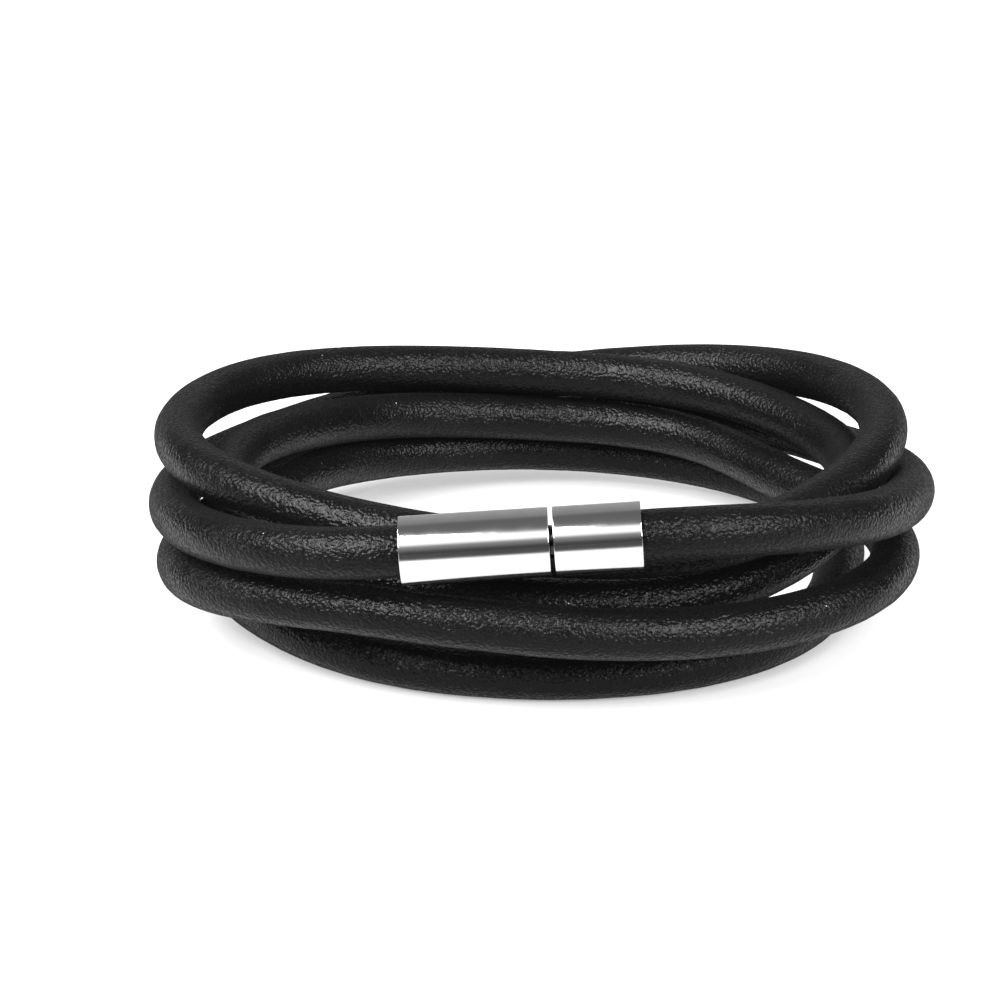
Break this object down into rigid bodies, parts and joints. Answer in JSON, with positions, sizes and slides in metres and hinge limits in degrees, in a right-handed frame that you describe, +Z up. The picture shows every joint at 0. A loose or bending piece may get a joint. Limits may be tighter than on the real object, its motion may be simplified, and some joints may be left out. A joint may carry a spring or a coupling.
{
  "type": "leather cord bracelet",
  "caption": "Round black leather cord wound into an open coil and closed by a plain steel tube clasp; worn round the wrist, shown lying flat.",
  "frame": {"origin": "on the surface it lies on, under the middle of its outline", "axes": "+Z up through the wrist opening, -Y towards the side with the clasp, +X from the long half of the clasp to the short half"},
  "size_m": [0.0584, 0.0614, 0.0165],
  "materials": {
    "leather": "black, fine wrinkled grain with a satin sheen",
    "steel": "polished stainless steel"
  },
  "bodies": {
    "root": {"leather_cord": "leather", "clasp_long_half": "steel", "clasp_short_half": "steel"}
  },
  "joints": []
}
